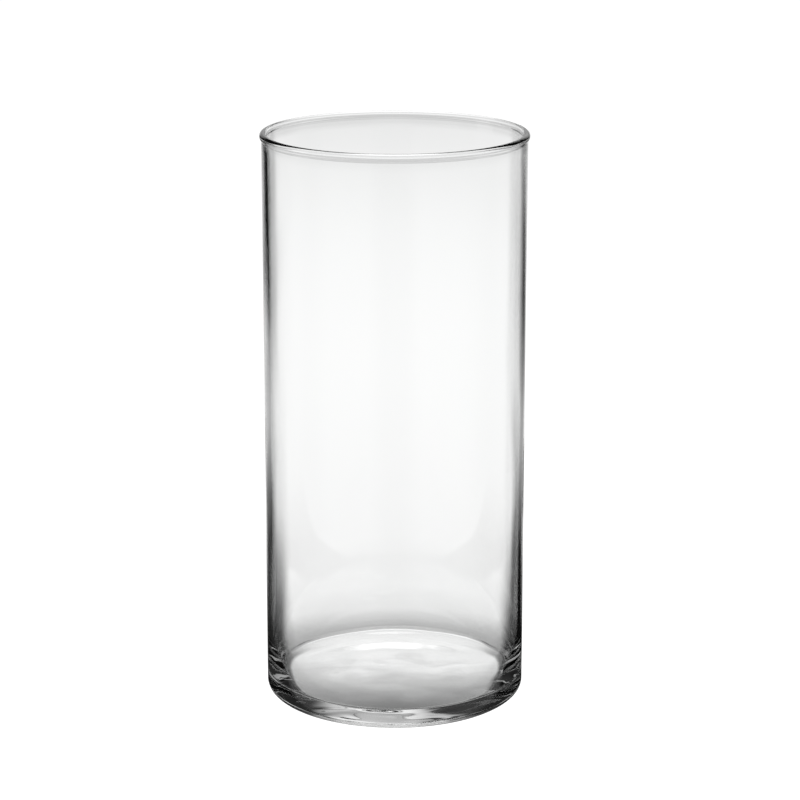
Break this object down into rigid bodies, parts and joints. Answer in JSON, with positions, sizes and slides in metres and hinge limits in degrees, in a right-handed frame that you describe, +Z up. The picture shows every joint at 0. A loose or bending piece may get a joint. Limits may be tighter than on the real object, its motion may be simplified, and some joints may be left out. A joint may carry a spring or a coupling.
{
  "type": "vase",
  "caption": "Tall straight-sided clear glass cylinder vase with an open top, a rounded fire-polished rim bead, a wall that thickens a little towards its flat floor, and a flat ring underneath to stand on.",
  "frame": {"origin": "centre of the bearing ring, on the surface that the vase stands on", "axes": "+Z up along the vase's axis; the vase is round, so X and Y may point any way"},
  "size_m": [0.1054, 0.1054, 0.2286],
  "materials": {
    "clear_glass": "clear, glossy, fire-polished soda-lime glass"
  },
  "bodies": {
    "root": {"glass_vase": "clear_glass"}
  },
  "joints": []
}
